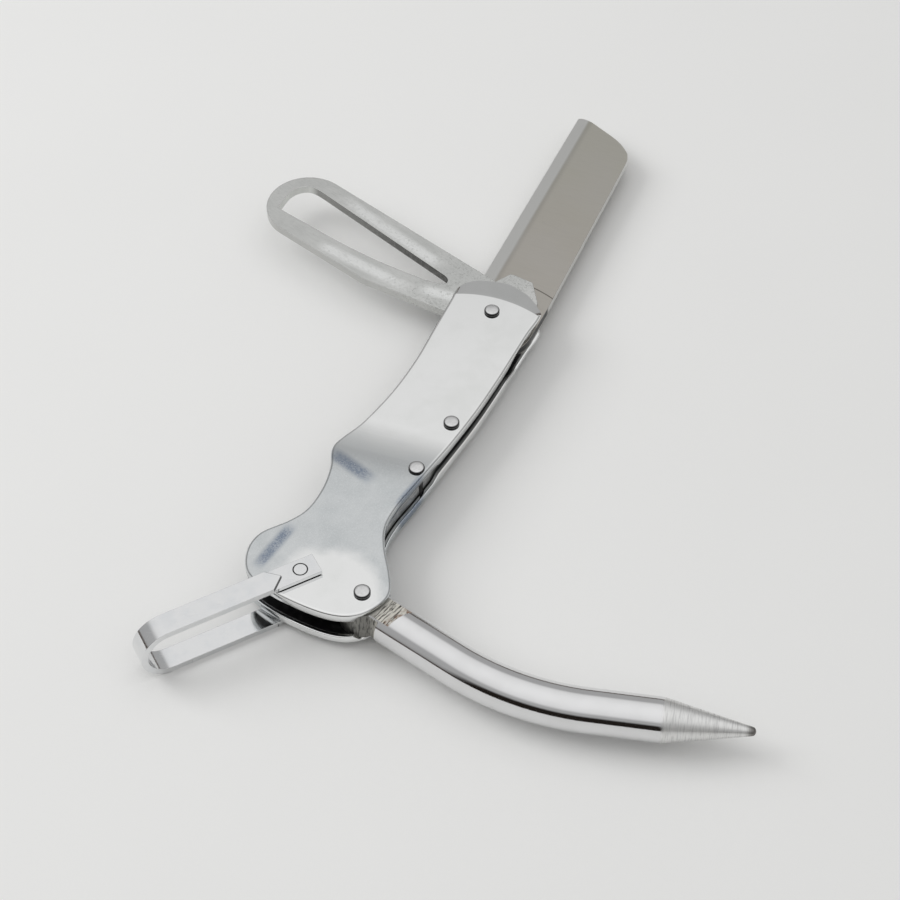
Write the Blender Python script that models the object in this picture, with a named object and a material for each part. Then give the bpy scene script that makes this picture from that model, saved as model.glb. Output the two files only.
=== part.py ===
"""Folding rigging knife: a sheepsfoot blade and a shackle key on one pivot, a marlinspike on the
other and a bail at the spike end.

Sizes are in millimetres and become metres where a mesh is made. +Y runs along the handle towards
the blade end, and +Z is the side of the shackle key. Heights are measured from the middle plane.
"""

import math

import bmesh
import bpy

for old in list(bpy.data.objects):
    bpy.data.objects.remove(old, do_unlink=True)

MM = 0.001

# The stack of the handle
PIVOT_SPACING = 82.4
SHEET = 1.0
LINER = 0.7
LAYER = 2.1
LAYER_GAP = 0.1
RUNNING_GAP = 0.2
SPIKE_TANG = 7.1
STRIP_FOOT = 1.6
EDGE_ROUND = 0.6
END_RIM = 0.15
SPRING_RECESS = SHEET + 0.2

INNER_HALF = LINER / 2 + LAYER + 2 * LAYER_GAP
THIN_HALF = INNER_HALF + SHEET
THICK_HALF = SPIKE_TANG / 2 + RUNNING_GAP + SHEET
LAYER_MIDDLE = LINER / 2 + LAYER_GAP + LAYER / 2
RAMP_TOP = -0.485 * PIVOT_SPACING
RAMP_BOTTOM = -0.655 * PIVOT_SPACING

# Rivets
HEAD_DIAMETER = 3.4
HEAD_HEIGHT = 0.85
SHANK_DIAMETER = 2.4
HOLE_DIAMETER = SHANK_DIAMETER + 0.2
MIDDLE_HEIGHT = THIN_HALF + HEAD_HEIGHT
SPIKE_PIVOT = (0.0, -PIVOT_SPACING)
UPPER_SPRING_RIVET = (2.1, -0.413 * PIVOT_SPACING)
LOWER_SPRING_RIVET = (-0.5, -0.592 * PIVOT_SPACING)

# Blade
BLADE_ANGLE = 85.4
BLADE_REACH = PIVOT_SPACING - 8.3
BLADE_EDGE = 7.7
BLADE_SPINE = 9.5
EDGE_BEVEL = 3.5
EDGE_LAND = 0.3

# Shackle key
KEY_ANGLE = 158.1
KEY_END_RADIUS = 9.65
KEY_END = PIVOT_SPACING - 26.7

# Marlinspike
SPIKE_ANGLE = -18.0
SPIKE_DIAMETER = 9.0
SPIKE_ROOT = 22.8
SPIKE_BEND_RADIUS = 57.0
SPIKE_BEND = 28.4
SPIKE_STRAIGHT = 13.8
SPIKE_TAPER = 18.0
SPIKE_TIP_DIAMETER = 1.8
SPIKE_HUB_DIAMETER = 9.8

# Bail
BAIL_ANGLE = 226.7
BAIL_LUG = (-13.3, -PIVOT_SPACING + 0.6)
BAIL_REACH = 35.5
BAIL_WIDTH = 4.8
BAIL_STRIP = 1.4
BAIL_PAD = 0.9
BAIL_PAD_END = 3.7
LUG_DIAMETER = 3.6
BAIL_INNER_HALF = THICK_HALF + 0.25


def along_handle(points):
    """Points whose second number is a share of the distance between the pivots."""
    return [(x, -share * PIVOT_SPACING) for x, share in points]


def from_spike_pivot(points):
    return [(x, y - PIVOT_SPACING) for x, y in points]


def smooth_loop(points, steps):
    """A closed Catmull-Rom curve through the points."""
    count = len(points)
    loop = []
    for i in range(count):
        p0, p1, p2, p3 = (points[(i + k - 1) % count] for k in range(4))
        for step in range(steps):
            t = step / steps
            w0 = -0.5 * t + t * t - 0.5 * t**3
            w1 = 1 - 2.5 * t * t + 1.5 * t**3
            w2 = 0.5 * t + 2 * t * t - 1.5 * t**3
            w3 = -0.5 * t * t + 0.5 * t**3
            x = w0 * p0[0] + w1 * p1[0] + w2 * p2[0] + w3 * p3[0]
            y = w0 * p0[1] + w1 * p1[1] + w2 * p2[1] + w3 * p3[1]
            loop.append((x, y))
    return loop


def inset(loop, distance):
    """The counter-clockwise loop moved inwards by the distance."""
    moved = []
    for i, (x, y) in enumerate(loop):
        before = loop[i - 1]
        after = loop[(i + 1) % len(loop)]
        back = math.atan2(y - before[1], x - before[0])
        ahead = math.atan2(after[1] - y, after[0] - x)
        half = math.remainder(ahead - back, 2 * math.pi) / 2
        reach = distance / math.cos(half)
        turn = back + half + math.pi / 2
        moved.append((x + reach * math.cos(turn), y + reach * math.sin(turn)))
    return moved


def arc(centre, radius, start, end, steps):
    """Points on an arc, the angles in degrees."""
    points = []
    for i in range(steps + 1):
        angle = math.radians(start + (end - start) * i / steps)
        x = centre[0] + radius * math.cos(angle)
        y = centre[1] + radius * math.sin(angle)
        points.append((x, y))
    return points


def material(name, colour, roughness):
    made = bpy.data.materials.new(name)
    made.use_nodes = True
    shader = made.node_tree.nodes["Principled BSDF"]
    shader.inputs["Base Color"].default_value = (*colour, 1.0)
    shader.inputs["Metallic"].default_value = 1.0
    shader.inputs["Roughness"].default_value = roughness
    return made


def place(name, bm, at=(0.0, 0.0), angle=0.0):
    """An object at this point of the middle plane, turned about +Z."""
    bmesh.ops.recalc_face_normals(bm, faces=bm.faces)
    bmesh.ops.scale(bm, vec=(MM, MM, MM), verts=bm.verts)
    mesh = bpy.data.meshes.new(name)
    bm.to_mesh(mesh)
    bm.free()
    obj = bpy.data.objects.new(name, mesh)
    bpy.context.scene.collection.objects.link(obj)
    obj.location = (at[0] * MM, at[1] * MM, MIDDLE_HEIGHT * MM)
    obj.rotation_euler = (0.0, 0.0, math.radians(angle))
    return obj


def node(name, bm, colour, roughness, at=(0.0, 0.0), angle=0.0):
    obj = place(name, bm, at, angle)
    obj.data.materials.append(material(name + "_steel", colour, roughness))
    for face in obj.data.polygons:
        face.use_smooth = True
    obj.data.set_sharp_from_angle(angle=math.radians(32))
    return obj


def helper(name, bm, at=(0.0, 0.0), angle=0.0):
    obj = place(name, bm, at, angle)
    obj.hide_render = True
    obj.display_type = "WIRE"
    return obj


def combine(obj, other, operation):
    modifier = obj.modifiers.new(other.name, "BOOLEAN")
    modifier.operation = operation
    modifier.solver = "EXACT"
    modifier.object = other


def prism(bm, outline, low, high):
    """A straight-sided solid added to the mesh, between two heights."""
    bottom = [bm.verts.new((x, y, low)) for x, y in outline]
    top = [bm.verts.new((x, y, high)) for x, y in outline]
    bm.faces.new(reversed(bottom))
    bm.faces.new(top)
    for i, start in enumerate(bottom):
        j = (i + 1) % len(bottom)
        bm.faces.new((start, bottom[j], top[j], top[i]))


def round_bar(bm, centre, diameter, low, high, sides=32):
    prism(bm, arc(centre, diameter / 2, 0, 360 - 360 / sides, sides - 1), low, high)


def stack_of_rings(bm, rings):
    """A closed solid through rings that have the same number of points."""
    made = [[bm.verts.new(point) for point in ring] for ring in rings]
    bm.faces.new(reversed(made[0]))
    bm.faces.new(made[-1])
    for low, high in zip(made, made[1:]):
        for i, start in enumerate(low):
            j = (i + 1) % len(low)
            bm.faces.new((start, low[j], high[j], high[i]))


# Handle outline, counter-clockwise from the top: the blade end is measured from the blade pivot,
# the lobe from the spike pivot, and the sides between them as shares of the pivot spacing.
OUTLINE_POINTS = (
    [(0.0, 10.1), (-5.5, 9.2), (-8.5, 7.4), (-9.9, 4.8), (-10.0, 0.9), (-10.7, -9.1)]
    + along_handle([(-11.4, 0.232), (-13.0, 0.353), (-15.8, 0.475), (-18.7, 0.558)])
    + along_handle([(-19.2, 0.598), (-17.7, 0.658), (-17.2, 0.728), (-18.1, 0.800)])
    + from_spike_pivot([(-20.5, 12.4), (-24.9, 7.4), (-25.7, 2.4), (-23.4, -2.6)])
    + from_spike_pivot([(-17.4, -5.3), (-8.7, -6.9), (-2.6, -6.8), (1.6, -4.9)])
    + from_spike_pivot([(4.3, -1.4), (5.1, 2.0), (3.6, 6.2), (0.2, 12.5)])
    + along_handle([(-1.3, 0.788), (-0.8, 0.717), (0.8, 0.641), (4.1, 0.467)])
    + along_handle([(6.1, 0.352), (7.6, 0.237)])
    + [(8.8, -10.0), (9.6, -3.6), (10.5, 1.4), (10.1, 4.0), (6.4, 7.7), (3.1, 9.3)]
)
OUTLINE = smooth_loop(OUTLINE_POINTS, 2)

# Scales: a polished sheet each, with walls turned in round the spike end and down the right side.
FACE_END = 4.3
FACE_END_SAG = 0.018
WINDOW_LOW = (0.4, -5.8)
WINDOW_HIGH = (0.9, 10.9)
STRIP_TOP = -9.0
STRIP_BOTTOM = -0.56 * PIVOT_SPACING
STRIP_SLOPE = 6.0
WINDOW_SLOPE = 0.3


def face_height(y):
    """Height of a scale's outer face: thin at the blade end and thick at the spike end."""
    share = (RAMP_TOP - y) / (RAMP_TOP - RAMP_BOTTOM)
    return THIN_HALF + (THICK_HALF - THIN_HALF) * min(max(share, 0.0), 1.0)


def in_window(x, y):
    """How far a point is inside the opening that the spike's tang swings through."""
    y -= SPIKE_PIVOT[1]
    run = math.dist(WINDOW_LOW, WINDOW_HIGH)
    low = (x - WINDOW_LOW[0]) * (WINDOW_HIGH[0] - WINDOW_LOW[0]) / run
    low += (y - WINDOW_LOW[1]) * (WINDOW_HIGH[1] - WINDOW_LOW[1]) / run
    return min(low, run - low) if x > -1 else -1.0


def wall_foot(x, y):
    """Height at which a scale's turned-in wall ends."""
    ceiling = face_height(y) - SHEET
    if x > -6:
        rise = min(STRIP_TOP - y, 3 * (y - STRIP_BOTTOM)) / STRIP_SLOPE
        if rise > 0:
            return min(ceiling, INNER_HALF) - min(rise, 1.0) * (INNER_HALF - STRIP_FOOT)
        opened = min(max(in_window(x, y) / WINDOW_SLOPE, 0.0), 1.0)
        return INNER_HALF + (ceiling - INNER_HALF) * opened
    return INNER_HALF


def face_edge(x, y):
    """Where the flat face ends inside a point of the outline, and whether that is the ground end."""
    end = FACE_END - FACE_END_SAG * (x + 0.5) ** 2
    return end, y > end + EDGE_ROUND


def scale(name, side, colour):
    bm = bmesh.new()
    level = bm.verts.layers.float.new("level")
    inner = inset(OUTLINE, SHEET)
    soft = inset(OUTLINE, 0.3 * EDGE_ROUND)
    flat = inset(OUTLINE, EDGE_ROUND)
    for i, (x, y) in enumerate(OUTLINE):
        end, ground = face_edge(x, y)
        if ground:
            flat[i] = (flat[i][0], end)
            soft[i] = (x + 0.3 * (flat[i][0] - x), y + 0.3 * (end - y))
    rings = []
    for height, loop in enumerate((inner, inner, OUTLINE, OUTLINE, soft, flat)):
        ring = [bm.verts.new((x, y, 0.0)) for x, y in loop]
        for vert in ring:
            vert[level] = height
        rings.append(ring)
    bm.faces.new(reversed(rings[0]))
    bm.faces.new(rings[-1])
    for low, high in zip(rings, rings[1:]):
        for i, start in enumerate(low):
            j = (i + 1) % len(low)
            bm.faces.new((start, low[j], high[j], high[i]))
    for vert in bm.verts:
        vert.co.z = vert[level]
    cuts = [(0.0, RAMP_TOP, 0.0, 1.0), (0.0, RAMP_BOTTOM, 0.0, 1.0)]
    across = math.dist(WINDOW_LOW, WINDOW_HIGH)
    run = [(b - a) / across for a, b in zip(WINDOW_LOW, WINDOW_HIGH)]
    for start, sign in ((WINDOW_LOW, 1), (WINDOW_HIGH, -1)):
        for step in (0.0, WINDOW_SLOPE):
            x = start[0] + sign * step * run[0]
            y = start[1] + sign * step * run[1] + SPIKE_PIVOT[1]
            cuts.append((x, y, run[0], run[1]))
    for x, y, nx, ny in cuts:
        near = [f for f in bm.faces if abs(ny) == 1.0 or min(v.co.x for v in f.verts) > -0.9]
        around = {v for f in near for v in f.verts}
        edges = {e for f in near for e in f.edges}
        bmesh.ops.bisect_plane(
            bm, geom=list(around) + list(edges) + near, plane_co=(x, y, 0), plane_no=(nx, ny, 0)
        )
    for vert in bm.verts:
        x, y = vert.co.x, vert.co.y
        face = face_height(y)
        ground = face_edge(x, y)[1]
        drop = THIN_HALF - INNER_HALF - END_RIM if ground else EDGE_ROUND
        if vert[level] < 0.5:
            z = face - SHEET
        elif vert[level] < 2.5:
            z = wall_foot(x, y)
        elif vert[level] < 3.5:
            z = face - drop
        elif vert[level] < 4.5:
            z = face - drop * (0.7 if ground_above(x, y) else 0.3)
        else:
            z = face
        vert.co.z = side * z
    bmesh.ops.remove_doubles(bm, verts=bm.verts, dist=1e-4)
    obj = node(name, bm, colour, 0.08)
    holes = bmesh.new()
    for at in ((0.0, 0.0), UPPER_SPRING_RIVET, LOWER_SPRING_RIVET, SPIKE_PIVOT):
        round_bar(holes, at, HOLE_DIAMETER, -10.0, 10.0)
    round_bar(holes, BAIL_LUG, LUG_DIAMETER + 0.2, -10.0, 10.0)
    combine(obj, helper(name + "_holes", holes), "DIFFERENCE")
    return obj


def ground_above(x, y):
    """Whether a point between the outline and the flat face belongs to the ground end."""
    return y > FACE_END - FACE_END_SAG * (x + 0.5) ** 2 + 0.5 * EDGE_ROUND


scale("upper_scale", 1, (0.78, 0.79, 0.79))
scale("lower_scale", -1, (0.72, 0.73, 0.74))

# Liner and back springs, inside the walls and clear of the folded tools and of the spike's hub.
RECESSED = inset(OUTLINE, SPRING_RECESS)
HALF_WAY = len(RECESSED) // 2
LEFT_SIDE = [point for point in RECESSED[:HALF_WAY] if point[1] > SPIKE_PIVOT[1] + 9.0]
RIGHT_SIDE = [point for point in RECESSED[HALF_WAY:] if point[1] > SPIKE_PIVOT[1] + 13.0]
SPRING_TOP = -11.3
SPRING_LEFT = along_handle([(5.2, 0.158), (3.3, 0.258), (0.6, 0.386), (-0.6, 0.413)])
SPRING_LEFT += along_handle([(-2.7, 0.498), (-4.2, 0.583), (-6.5, 0.728)])


def plate(name, outline, middle, thickness, rivets, colour):
    bm = bmesh.new()
    prism(bm, outline, middle - thickness / 2, middle + thickness / 2)
    obj = node(name, bm, colour, 0.3)
    holes = bmesh.new()
    for at in rivets:
        round_bar(holes, at, HOLE_DIAMETER, -10.0, 10.0)
    combine(obj, helper(name + "_holes", holes), "DIFFERENCE")
    return obj


def spring_outline():
    right = [point for point in RIGHT_SIDE if point[1] < SPRING_TOP - 1.0]
    foot = from_spike_pivot([(-7.2, 12.0), (-6.0, 7.4), (-3.4, 6.9), (-2.1, 10.4)])
    return [(6.6, SPRING_TOP)] + SPRING_LEFT + foot + right


LINER_FOOT = from_spike_pivot([(-14.0, 8.6), (-7.0, 7.8), (-3.4, 6.9), (-2.1, 10.4)])
LINER_RIVETS = [(0.0, 0.0), UPPER_SPRING_RIVET, LOWER_SPRING_RIVET]
plate("centre_liner", LEFT_SIDE + LINER_FOOT + RIGHT_SIDE, 0, LINER, LINER_RIVETS, (0.7, 0.7, 0.7))
plate("key_spring", spring_outline(), LAYER_MIDDLE, LAYER, LINER_RIVETS[1:], (0.5, 0.5, 0.5))
plate("blade_spring", spring_outline(), -LAYER_MIDDLE, LAYER, LINER_RIVETS[1:], (0.5, 0.5, 0.5))


# Rivets: a shank with a bevelled head on each scale.
def rivet(name, at):
    slope = (THICK_HALF - THIN_HALF) / (RAMP_TOP - RAMP_BOTTOM)
    lift = 0.5 * HEAD_DIAMETER * slope if RAMP_BOTTOM < at[1] < RAMP_TOP else 0.0
    seat = face_height(at[1]) + lift + 0.05
    top = face_height(at[1]) + HEAD_HEIGHT
    head = HEAD_DIAMETER / 2
    shank = SHANK_DIAMETER / 2
    profile = [(0.72 * head, top), (0.93 * head, top - 0.2), (head, top - 0.45), (head, seat)]
    profile += [(shank, seat), (shank, -seat), (head, -seat)]
    profile += [(head, -top + 0.45), (0.93 * head, -top + 0.2), (0.72 * head, -top)]
    bm = bmesh.new()
    rings = [[(x, y, z) for x, y in arc((0, 0), r, 0, 345, 23)] for r, z in reversed(profile)]
    stack_of_rings(bm, rings)
    return node(name, bm, (0.75, 0.75, 0.76), 0.15, at)


rivet("pivot_rivet", (0.0, 0.0))
rivet("spring_rivet_upper", UPPER_SPRING_RIVET)
rivet("spring_rivet_lower", LOWER_SPRING_RIVET)
rivet("spike_rivet", SPIKE_PIVOT)

# Blade, under the liner. Its own X runs from the pivot to the point and its own Y to the edge.
blade_outline = [
    (BLADE_REACH, BLADE_EDGE - 0.2),
    (BLADE_REACH, BLADE_EDGE - 1.8),
    (BLADE_REACH - 2.3, 1.0),
    (BLADE_REACH - 5.0, -0.47 * BLADE_SPINE),
    (BLADE_REACH - 7.8, -0.81 * BLADE_SPINE),
    (BLADE_REACH - 9.3, -0.90 * BLADE_SPINE),
    (BLADE_REACH - 11.0, -0.945 * BLADE_SPINE),
    (BLADE_REACH - 14.0, -0.955 * BLADE_SPINE),
    (26.0, -BLADE_SPINE),
    (10.0, -BLADE_SPINE - 0.2),
]
blade_outline += arc((0.0, 0.0), BLADE_SPINE, 270, 130, 12)
blade_outline += [(0.0, BLADE_EDGE + 0.2), (BLADE_REACH - 1.2, BLADE_EDGE)]
bevel_line = BLADE_EDGE - EDGE_BEVEL
RICASSO = 10.5
RICASSO_SLOPE = 2.0
bm = bmesh.new()
prism(bm, list(reversed(blade_outline)), -LAYER / 2, LAYER / 2)
for point, normal in (((0, bevel_line, 0), (0, 1, 0)), ((RICASSO, 0, 0), (1, 0, 0))):
    whole = list(bm.verts) + list(bm.edges) + list(bm.faces)
    bmesh.ops.bisect_plane(bm, geom=whole, plane_co=point, plane_no=normal)
whole = list(bm.verts) + list(bm.edges) + list(bm.faces)
beyond = (RICASSO + RICASSO_SLOPE, 0, 0)
bmesh.ops.bisect_plane(bm, geom=whole, plane_co=beyond, plane_no=(1, 0, 0))
for vert in bm.verts:
    across = min(max((vert.co.y - bevel_line) / EDGE_BEVEL, 0.0), 1.0)
    forward = min(max((vert.co.x - RICASSO) / RICASSO_SLOPE, 0.0), 1.0)
    vert.co.z *= 1 - (1 - EDGE_LAND / LAYER) * across * forward
for vert in bm.verts:
    vert.co.z -= LAYER_MIDDLE
blade = node("blade", bm, (0.45, 0.44, 0.42), 0.3, angle=BLADE_ANGLE)
bore = bmesh.new()
round_bar(bore, (0.0, 0.0), HOLE_DIAMETER, -10.0, 10.0)
blade_bore = helper("blade_bore", bore, angle=BLADE_ANGLE)
combine(blade, blade_bore, "DIFFERENCE")

# Shackle key, over the liner. Its own X runs from the pivot to the round end.
key_outline = [(6.1, -8.6), (KEY_END, 0.9 - KEY_END_RADIUS)]
key_outline += arc((KEY_END, 0.9), KEY_END_RADIUS, -82, 82, 14)
key_outline += [(KEY_END, 0.9 + KEY_END_RADIUS), (30.0, 10.3), (8.8, 5.9)]
key_outline += arc((0.0, 0.0), 9.4, 66, 218, 12)
key_outline += [(-5.4, -9.6), (-0.5, -13.8), (4.2, -13.0), (5.1, -12.6)]
bm = bmesh.new()
prism(bm, key_outline, LAYER_MIDDLE - LAYER / 2, LAYER_MIDDLE + LAYER / 2)
key = node("shackle_key", bm, (0.62, 0.62, 0.62), 0.25, angle=KEY_ANGLE)
slot = [(KEY_END + 6.2, 0.6), (KEY_END + 5.9, -1.6), (KEY_END + 4.6, -3.6), (KEY_END + 2.8, -4.4)]
slot += [(KEY_END + 0.3, -4.5), (16.3, -2.5), (14.9, -2.1), (14.3, -1.0), (15.2, 0.2)]
slot += [(19.4, 1.65), (30.8, 3.9), (0.743 * KEY_END, 5.1), (0.917 * KEY_END, 5.6)]
slot += [(KEY_END + 3.6, 6.0), (KEY_END + 4.7, 5.6), (KEY_END + 5.2, 4.4)]
opening = bmesh.new()
prism(opening, list(reversed(slot)), -10.0, 10.0)
round_bar(opening, (0.0, 0.0), HOLE_DIAMETER, -10.0, 10.0)
combine(key, helper("key_openings", opening, angle=KEY_ANGLE), "DIFFERENCE")

# Marlinspike: a bent round bar with a milled tang that fills the thick end of the handle.
RING_SIDES = 24


def spike_line():
    """Distance along the root line, offset to the left, heading and radius at each ring."""
    radius = SPIKE_DIAMETER / 2
    rows = [(0.0, 0.0, 0.0, radius), (SPIKE_ROOT, 0.0, 0.0, radius)]
    for i in range(1, 8):
        turn = math.radians(SPIKE_BEND * i / 7)
        x = SPIKE_ROOT + SPIKE_BEND_RADIUS * math.sin(turn)
        rows.append((x, SPIKE_BEND_RADIUS * (1 - math.cos(turn)), turn, radius))
    x, y, turn, _ = rows[-1]
    blunt = SPIKE_TIP_DIAMETER / 2
    for run, size in (
        (SPIKE_STRAIGHT, radius),
        (SPIKE_STRAIGHT + 0.5 * SPIKE_TAPER, 0.56 * radius + 0.44 * blunt),
        (SPIKE_STRAIGHT + SPIKE_TAPER - 0.5, blunt),
        (SPIKE_STRAIGHT + SPIKE_TAPER, 0.5 * blunt),
    ):
        rows.append((x + run * math.cos(turn), y + run * math.sin(turn), turn, size))
    return rows


bm = bmesh.new()
rings = []
for x, y, turn, radius in spike_line():
    ring = []
    for i in range(RING_SIDES):
        angle = 2 * math.pi * (i + 0.5) / RING_SIDES
        side = radius * math.cos(angle)
        height = radius * math.sin(angle)
        ring.append((x - side * math.sin(turn), y + side * math.cos(turn), height))
    rings.append(ring)
stack_of_rings(bm, rings)
spike = node("marlinspike", bm, (0.7, 0.7, 0.71), 0.12, SPIKE_PIVOT, SPIKE_ANGLE)
notch = bmesh.new()
prism(notch, [(-1.0, -6.0), (6.3, -6.0), (6.3, -3.0), (-1.0, -3.0)], -10.0, 10.0)
combine(spike, helper("spike_notch", notch, SPIKE_PIVOT, SPIKE_ANGLE), "DIFFERENCE")
hub = bmesh.new()
round_bar(hub, (0.0, 0.0), SPIKE_HUB_DIAMETER, -6.0, 6.0, 40)
combine(spike, helper("spike_hub", hub, SPIKE_PIVOT, SPIKE_ANGLE), "UNION")
flats = bmesh.new()
milled = [(-9.0, -9.0), (6.65, -9.0), (12.3, 9.0), (-9.0, 9.0)]
prism(flats, milled, SPIKE_TANG / 2, 12.0)
prism(flats, milled, -12.0, -SPIKE_TANG / 2)
bore = bmesh.new()
round_bar(bore, (0.0, 0.0), HOLE_DIAMETER, -10.0, 10.0)
combine(spike, helper("spike_flats", flats, SPIKE_PIVOT, SPIKE_ANGLE), "DIFFERENCE")
combine(spike, helper("spike_bore", bore, SPIKE_PIVOT, SPIKE_ANGLE), "DIFFERENCE")

# Bail: a strip bent into a U, thinned at its ends, which pivots on a lug in each scale.
strip_outer = BAIL_INNER_HALF + BAIL_STRIP
bend = BAIL_REACH - strip_outer
side_view = [(-BAIL_PAD_END, strip_outer)]
side_view += [(bend + strip_outer * math.sin(a), strip_outer * math.cos(a)) for a in
              (math.pi * i / 16 for i in range(17))]
side_view += [(-BAIL_PAD_END, -strip_outer), (-BAIL_PAD_END, -BAIL_INNER_HALF)]
side_view += [(bend + BAIL_INNER_HALF * math.sin(a), -BAIL_INNER_HALF * math.cos(a)) for a in
              (math.pi * i / 16 for i in range(17))]
side_view += [(-BAIL_PAD_END, BAIL_INNER_HALF)]
bm = bmesh.new()
near = [bm.verts.new((x, -BAIL_WIDTH / 2, z)) for x, z in side_view]
far = [bm.verts.new((x, BAIL_WIDTH / 2, z)) for x, z in side_view]
bm.faces.new(near)
bm.faces.new(reversed(far))
for i, start in enumerate(near):
    j = (i + 1) % len(near)
    bm.faces.new((start, far[i], far[j], near[j]))
bail = node("bail", bm, (0.74, 0.75, 0.76), 0.12, BAIL_LUG, BAIL_ANGLE)
pads = bmesh.new()
step = BAIL_INNER_HALF + BAIL_PAD
chevron = [(-6.0, -4.0), (8.4, -4.0), (4.1, 0.0), (8.4, 4.0), (-6.0, 4.0)]
prism(pads, chevron, step, 12.0)
prism(pads, chevron, -12.0, -step)
combine(bail, helper("bail_pad_cuts", pads, BAIL_LUG, BAIL_ANGLE), "DIFFERENCE")
lugs = bmesh.new()
for side in (-1, 1):
    ends = sorted((side * (THICK_HALF - SHEET + 0.05), side * (BAIL_INNER_HALF + 0.4)))
    round_bar(lugs, (0.0, 0.0), LUG_DIAMETER, ends[0], ends[1])
combine(bail, helper("bail_lugs", lugs, BAIL_LUG, BAIL_ANGLE), "UNION")
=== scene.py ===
"""Finished look of the folding rigging knife, lying opened out on a pale table."""

import math

import bmesh
import bpy
from mathutils import Matrix, Vector


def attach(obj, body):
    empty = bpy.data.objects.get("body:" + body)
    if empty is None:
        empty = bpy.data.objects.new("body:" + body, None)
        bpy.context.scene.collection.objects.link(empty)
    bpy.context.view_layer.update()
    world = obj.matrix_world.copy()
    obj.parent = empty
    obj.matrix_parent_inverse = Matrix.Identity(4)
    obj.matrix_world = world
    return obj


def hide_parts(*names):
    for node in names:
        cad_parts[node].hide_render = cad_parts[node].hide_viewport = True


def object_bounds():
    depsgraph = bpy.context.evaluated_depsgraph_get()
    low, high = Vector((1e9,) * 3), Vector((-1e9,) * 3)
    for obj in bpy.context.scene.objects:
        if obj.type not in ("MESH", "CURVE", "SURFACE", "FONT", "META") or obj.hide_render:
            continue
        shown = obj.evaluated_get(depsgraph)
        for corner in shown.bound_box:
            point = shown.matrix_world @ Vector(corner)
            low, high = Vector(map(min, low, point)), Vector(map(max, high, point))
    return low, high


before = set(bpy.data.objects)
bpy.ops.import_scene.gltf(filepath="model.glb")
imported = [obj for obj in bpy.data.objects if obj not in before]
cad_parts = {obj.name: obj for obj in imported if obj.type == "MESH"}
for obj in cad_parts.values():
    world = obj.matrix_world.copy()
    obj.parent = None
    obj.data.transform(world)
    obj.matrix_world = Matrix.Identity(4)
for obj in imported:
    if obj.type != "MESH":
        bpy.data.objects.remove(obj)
cad_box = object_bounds()

# Table, light and camera. The table is just under the bail, which is the lowest piece. The sky is
# bright overhead, grey lower down and dark at the horizon and in front, where the onlooker stands.
# The knife's own sizes are in millimetres, and MIDDLE is the height of its middle plane.
MM = 0.001
MIDDLE = 4.5
TABLE = cad_box[0][2] - 0.00003

scene = bpy.context.scene
scene.view_settings.view_transform = "Standard"

bpy.ops.mesh.primitive_plane_add(size=4.0, location=(0.0, 0.0, TABLE))
table = bpy.context.object
table.name = "table_top"

camera_data = bpy.data.cameras.new("camera")
camera_data.lens = 80.0
camera_data.sensor_width = 36.0
camera = bpy.data.objects.new("camera", camera_data)
scene.collection.objects.link(camera)
aim = Vector((0.0024055, -0.035884, 0.0015))
camera.location = (0.0916306, -0.2965145, 0.3298048)
camera.rotation_euler = (aim - camera.location).to_track_quat("-Z", "Y").to_euler()
scene.camera = camera


class Value:
    """A number or a colour in a node tree, and the sums that can be done with it."""

    def __init__(self, tree, socket):
        self.tree = tree
        self.socket = socket

    def math(self, operation, *others):
        made = self.tree.nodes.new("ShaderNodeMath")
        made.operation = operation
        for place, value in zip(made.inputs, (self, *others)):
            put(self.tree, place, value)
        return Value(self.tree, made.outputs[0])

    def __add__(self, other):
        return self.math("ADD", other)

    def __mul__(self, other):
        return self.math("MULTIPLY", other)

    def __sub__(self, other):
        return self.math("SUBTRACT", other)

    def __rsub__(self, other):
        return (self * -1.0) + other

    __radd__ = __add__
    __rmul__ = __mul__

    def step(self, low, high):
        """0 below low, 1 above high, and smooth between them."""
        made = self.tree.nodes.new("ShaderNodeMapRange")
        made.interpolation_type = "SMOOTHSTEP"
        for place, value in zip(made.inputs, (self, low, high, 0.0, 1.0)):
            put(self.tree, place, value)
        return Value(self.tree, made.outputs[0])


def put(tree, place, value):
    """Gives a node's input a value, or links it to one."""
    if isinstance(value, Value):
        tree.links.new(value.socket, place)
    else:
        place.default_value = value


class Shading:
    """The nodes of one tree. A node's outputs come back by name."""

    def __init__(self, tree):
        self.tree = tree

    def node(self, kind, settings=None, links=None):
        made = self.tree.nodes.new(kind)
        for key, value in (settings or {}).items():
            if key == "stops":
                ramp = made.color_ramp.elements
                while len(ramp) < len(value):
                    ramp.new(0.5)
                for stop, (position, colour) in zip(ramp, value):
                    stop.position = position
                    stop.color = (*colour, 1.0)
            else:
                setattr(made, key, value)
        for key, value in (links or {}).items():
            put(self.tree, made.inputs[key], value)
        return {out.name: Value(self.tree, out) for out in made.outputs}

    def mix(self, amount, first, second):
        """The first colour, going to the second by this amount."""
        made = self.tree.nodes.new("ShaderNodeMix")
        made.data_type = "RGBA"
        for place, value in zip((made.inputs[0], made.inputs[6], made.inputs[7]), (amount, first, second)):
            put(self.tree, place, value)
        return Value(self.tree, made.outputs[2])


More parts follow.
